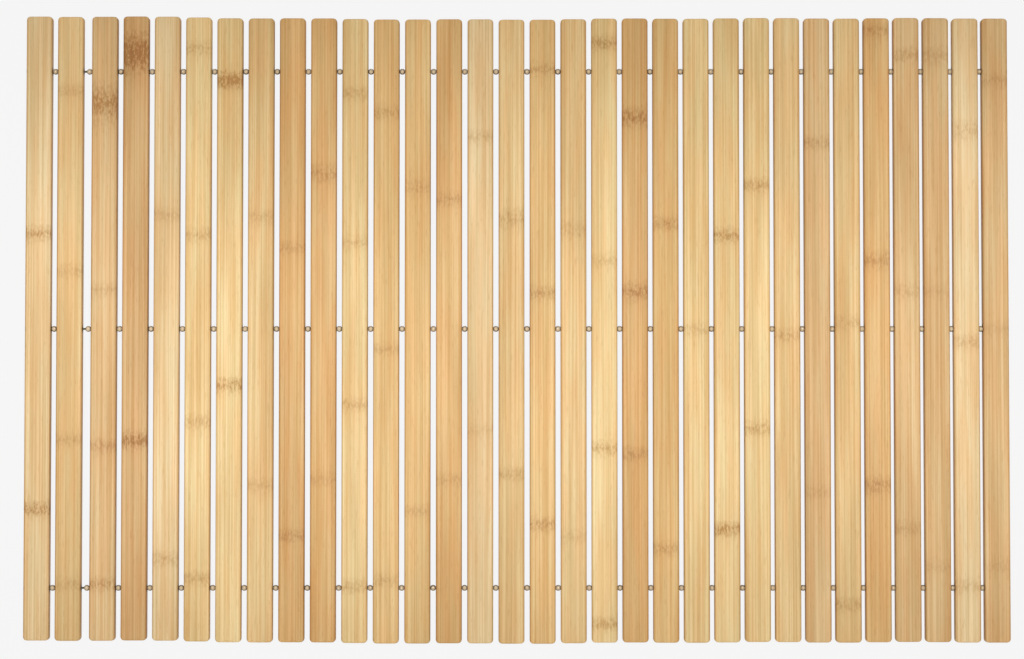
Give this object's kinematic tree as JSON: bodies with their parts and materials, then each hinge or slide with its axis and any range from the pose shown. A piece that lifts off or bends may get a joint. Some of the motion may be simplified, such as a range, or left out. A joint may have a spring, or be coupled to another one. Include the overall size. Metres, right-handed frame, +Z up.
{
  "type": "bath mat",
  "caption": "Flat roll-up mat of parallel bamboo slats strung side by side on cords, with a round spacer bead in every gap.",
  "frame": {"origin": "centre of the mat's underside, on the surface that it lies on", "axes": "+X across the slats along the mat's long side, +Y along the slats, +Z up"},
  "size_m": [0.7878, 0.5026, 0.008],
  "materials": {
    "bamboo_pale": "satin",
    "bamboo_honey": "satin",
    "bamboo_amber": "satin",
    "cord_and_beads": "satin beads on a dark cord",
    "cord_knot": "matte twisted cord"
  },
  "bodies": {
    "slat_01": {"slat_01": "bamboo_pale", "beaded_cord_front": "cord_and_beads", "beaded_cord_middle": "cord_and_beads", "beaded_cord_back": "cord_and_beads", "end_knot_left_front": "cord_knot", "end_knot_left_middle": "cord_knot", "end_knot_left_back": "cord_knot"},
    "slat_02": {"slat_02": "bamboo_honey"},
    "slat_03": {"slat_03": "bamboo_amber"},
    "slat_04": {"slat_04": "bamboo_amber"},
    "slat_05": {"slat_05": "bamboo_pale"},
    "slat_06": {"slat_06": "bamboo_pale"},
    "slat_07": {"slat_07": "bamboo_pale"},
    "slat_08": {"slat_08": "bamboo_honey"},
    "slat_09": {"slat_09": "bamboo_amber"},
    "slat_10": {"slat_10": "bamboo_amber"},
    "slat_11": {"slat_11": "bamboo_pale"},
    "slat_12": {"slat_12": "bamboo_honey"},
    "slat_13": {"slat_13": "bamboo_honey"},
    "slat_14": {"slat_14": "bamboo_honey"},
    "slat_15": {"slat_15": "bamboo_pale"},
    "slat_16": {"slat_16": "bamboo_honey"},
    "slat_17": {"slat_17": "bamboo_honey"},
    "slat_18": {"slat_18": "bamboo_honey"},
    "slat_19": {"slat_19": "bamboo_pale"},
    "slat_20": {"slat_20": "bamboo_amber"},
    "slat_21": {"slat_21": "bamboo_honey"},
    "slat_22": {"slat_22": "bamboo_pale"},
    "slat_23": {"slat_23": "bamboo_pale"},
    "slat_24": {"slat_24": "bamboo_pale"},
    "slat_25": {"slat_25": "bamboo_pale"},
    "slat_26": {"slat_26": "bamboo_amber"},
    "slat_27": {"slat_27": "bamboo_honey"},
    "slat_28": {"slat_28": "bamboo_amber"},
    "slat_29": {"slat_29": "bamboo_honey"},
    "slat_30": {"slat_30": "bamboo_honey"},
    "slat_31": {"slat_31": "bamboo_pale"},
    "slat_32": {"slat_32": "bamboo_honey", "end_knot_right_front": "cord_knot", "end_knot_right_middle": "cord_knot", "end_knot_right_back": "cord_knot"}
  },
  "joints": [
    {"name": "hinge_01_02", "type": "hinge", "parent": "slat_01", "child": "slat_02", "pos_m": [-0.37093, 0, 0.004], "axis": [0, -1, 0], "range_deg": [-0.3, 25.4]},
    {"name": "hinge_02_03", "type": "hinge", "parent": "slat_02", "child": "slat_03", "pos_m": [-0.34349, 0, 0.004], "axis": [0, -1, 0], "range_deg": [-0.3, 25.7]},
    {"name": "hinge_03_04", "type": "hinge", "parent": "slat_03", "child": "slat_04", "pos_m": [-0.31835, 0, 0.004], "axis": [0, -1, 0], "range_deg": [-0.3, 24.9]},
    {"name": "hinge_04_05", "type": "hinge", "parent": "slat_04", "child": "slat_05", "pos_m": [-0.2932, 0, 0.004], "axis": [0, -1, 0], "range_deg": [-0.3, 25.2]},
    {"name": "hinge_05_06", "type": "hinge", "parent": "slat_05", "child": "slat_06", "pos_m": [-0.26806, 0, 0.004], "axis": [0, -1, 0], "range_deg": [-0.3, 25.5]},
    {"name": "hinge_06_07", "type": "hinge", "parent": "slat_06", "child": "slat_07", "pos_m": [-0.24292, 0, 0.004], "axis": [0, -1, 0], "range_deg": [-0.3, 25.8]},
    {"name": "hinge_07_08", "type": "hinge", "parent": "slat_07", "child": "slat_08", "pos_m": [-0.21777, 0, 0.004], "axis": [0, -1, 0], "range_deg": [-0.3, 26.2]},
    {"name": "hinge_08_09", "type": "hinge", "parent": "slat_08", "child": "slat_09", "pos_m": [-0.19263, 0, 0.004], "axis": [0, -1, 0], "range_deg": [-0.3, 26.6]},
    {"name": "hinge_09_10", "type": "hinge", "parent": "slat_09", "child": "slat_10", "pos_m": [-0.16749, 0, 0.004], "axis": [0, -1, 0], "range_deg": [-0.3, 26.9]},
    {"name": "hinge_10_11", "type": "hinge", "parent": "slat_10", "child": "slat_11", "pos_m": [-0.14235, 0, 0.004], "axis": [0, -1, 0], "range_deg": [-0.3, 27.3]},
    {"name": "hinge_11_12", "type": "hinge", "parent": "slat_11", "child": "slat_12", "pos_m": [-0.1172, 0, 0.004], "axis": [0, -1, 0], "range_deg": [-0.3, 27.7]},
    {"name": "hinge_12_13", "type": "hinge", "parent": "slat_12", "child": "slat_13", "pos_m": [-0.09206, 0, 0.004], "axis": [0, -1, 0], "range_deg": [-0.3, 28.2]},
    {"name": "hinge_13_14", "type": "hinge", "parent": "slat_13", "child": "slat_14", "pos_m": [-0.06692, 0, 0.004], "axis": [0, -1, 0], "range_deg": [-0.3, 28.6]},
    {"name": "hinge_14_15", "type": "hinge", "parent": "slat_14", "child": "slat_15", "pos_m": [-0.04182, 0, 0.004], "axis": [0, -1, 0], "range_deg": [-0.3, 29]},
    {"name": "hinge_15_16", "type": "hinge", "parent": "slat_15", "child": "slat_16", "pos_m": [-0.0168, 0, 0.004], "axis": [0, -1, 0], "range_deg": [-0.3, 29.4]},
    {"name": "hinge_16_17", "type": "hinge", "parent": "slat_16", "child": "slat_17", "pos_m": [0.00813, 0, 0.004], "axis": [0, -1, 0], "range_deg": [-0.3, 29.8]},
    {"name": "hinge_17_18", "type": "hinge", "parent": "slat_17", "child": "slat_18", "pos_m": [0.03297, 0, 0.004], "axis": [0, -1, 0], "range_deg": [-0.3, 30.2]},
    {"name": "hinge_18_19", "type": "hinge", "parent": "slat_18", "child": "slat_19", "pos_m": [0.05772, 0, 0.004], "axis": [0, -1, 0], "range_deg": [-0.3, 30.7]},
    {"name": "hinge_19_20", "type": "hinge", "parent": "slat_19", "child": "slat_20", "pos_m": [0.08239, 0, 0.004], "axis": [0, -1, 0], "range_deg": [-0.3, 31.2]},
    {"name": "hinge_20_21", "type": "hinge", "parent": "slat_20", "child": "slat_21", "pos_m": [0.10698, 0, 0.004], "axis": [0, -1, 0], "range_deg": [-0.3, 31.7]},
    {"name": "hinge_21_22", "type": "hinge", "parent": "slat_21", "child": "slat_22", "pos_m": [0.13147, 0, 0.004], "axis": [0, -1, 0], "range_deg": [-0.3, 32.2]},
    {"name": "hinge_22_23", "type": "hinge", "parent": "slat_22", "child": "slat_23", "pos_m": [0.15588, 0, 0.004], "axis": [0, -1, 0], "range_deg": [-0.3, 32.8]},
    {"name": "hinge_23_24", "type": "hinge", "parent": "slat_23", "child": "slat_24", "pos_m": [0.18021, 0, 0.004], "axis": [0, -1, 0], "range_deg": [-0.3, 33.5]},
    {"name": "hinge_24_25", "type": "hinge", "parent": "slat_24", "child": "slat_25", "pos_m": [0.20445, 0, 0.004], "axis": [0, -1, 0], "range_deg": [-0.3, 34.1]},
    {"name": "hinge_25_26", "type": "hinge", "parent": "slat_25", "child": "slat_26", "pos_m": [0.2286, 0, 0.004], "axis": [0, -1, 0], "range_deg": [-0.3, 34.8]},
    {"name": "hinge_26_27", "type": "hinge", "parent": "slat_26", "child": "slat_27", "pos_m": [0.25267, 0, 0.004], "axis": [0, -1, 0], "range_deg": [-0.3, 35.6]},
    {"name": "hinge_27_28", "type": "hinge", "parent": "slat_27", "child": "slat_28", "pos_m": [0.27665, 0, 0.004], "axis": [0, -1, 0], "range_deg": [-0.3, 36.5]},
    {"name": "hinge_28_29", "type": "hinge", "parent": "slat_28", "child": "slat_29", "pos_m": [0.30054, 0, 0.004], "axis": [0, -1, 0], "range_deg": [-0.3, 37.4]},
    {"name": "hinge_29_30", "type": "hinge", "parent": "slat_29", "child": "slat_30", "pos_m": [0.32435, 0, 0.004], "axis": [0, -1, 0], "range_deg": [-0.3, 38.4]},
    {"name": "hinge_30_31", "type": "hinge", "parent": "slat_30", "child": "slat_31", "pos_m": [0.34807, 0, 0.004], "axis": [0, -1, 0], "range_deg": [-0.3, 39.5]},
    {"name": "hinge_31_32", "type": "hinge", "parent": "slat_31", "child": "slat_32", "pos_m": [0.37171, 0, 0.004], "axis": [0, -1, 0], "range_deg": [0, 40.4], "deforming": ["beaded_cord_front", "beaded_cord_middle", "beaded_cord_back"]}
  ],
  "couplings": [
    {"joint": "hinge_01_02", "follows": "hinge_31_32", "ratio": 0.6193},
    {"joint": "hinge_02_03", "follows": "hinge_31_32", "ratio": 0.6269},
    {"joint": "hinge_03_04", "follows": "hinge_31_32", "ratio": 0.6065},
    {"joint": "hinge_04_05", "follows": "hinge_31_32", "ratio": 0.6141},
    {"joint": "hinge_05_06", "follows": "hinge_31_32", "ratio": 0.622},
    {"joint": "hinge_06_07", "follows": "hinge_31_32", "ratio": 0.6302},
    {"joint": "hinge_07_08", "follows": "hinge_31_32", "ratio": 0.6387},
    {"joint": "hinge_08_09", "follows": "hinge_31_32", "ratio": 0.6476},
    {"joint": "hinge_09_10", "follows": "hinge_31_32", "ratio": 0.6569},
    {"joint": "hinge_10_11", "follows": "hinge_31_32", "ratio": 0.6666},
    {"joint": "hinge_11_12", "follows": "hinge_31_32", "ratio": 0.6767},
    {"joint": "hinge_12_13", "follows": "hinge_31_32", "ratio": 0.6874},
    {"joint": "hinge_13_14", "follows": "hinge_31_32", "ratio": 0.6979},
    {"joint": "hinge_14_15", "follows": "hinge_31_32", "ratio": 0.7077},
    {"joint": "hinge_15_16", "follows": "hinge_31_32", "ratio": 0.7173},
    {"joint": "hinge_16_17", "follows": "hinge_31_32", "ratio": 0.7275},
    {"joint": "hinge_17_18", "follows": "hinge_31_32", "ratio": 0.7383},
    {"joint": "hinge_18_19", "follows": "hinge_31_32", "ratio": 0.7496},
    {"joint": "hinge_19_20", "follows": "hinge_31_32", "ratio": 0.7617},
    {"joint": "hinge_20_21", "follows": "hinge_31_32", "ratio": 0.7745},
    {"joint": "hinge_21_22", "follows": "hinge_31_32", "ratio": 0.7881},
    {"joint": "hinge_22_23", "follows": "hinge_31_32", "ratio": 0.8026},
    {"joint": "hinge_23_24", "follows": "hinge_31_32", "ratio": 0.8181},
    {"joint": "hinge_24_25", "follows": "hinge_31_32", "ratio": 0.8348},
    {"joint": "hinge_25_26", "follows": "hinge_31_32", "ratio": 0.8527},
    {"joint": "hinge_26_27", "follows": "hinge_31_32", "ratio": 0.8721},
    {"joint": "hinge_27_28", "follows": "hinge_31_32", "ratio": 0.8931},
    {"joint": "hinge_28_29", "follows": "hinge_31_32", "ratio": 0.9159},
    {"joint": "hinge_29_30", "follows": "hinge_31_32", "ratio": 0.941},
    {"joint": "hinge_30_31", "follows": "hinge_31_32", "ratio": 0.9685}
  ]
}
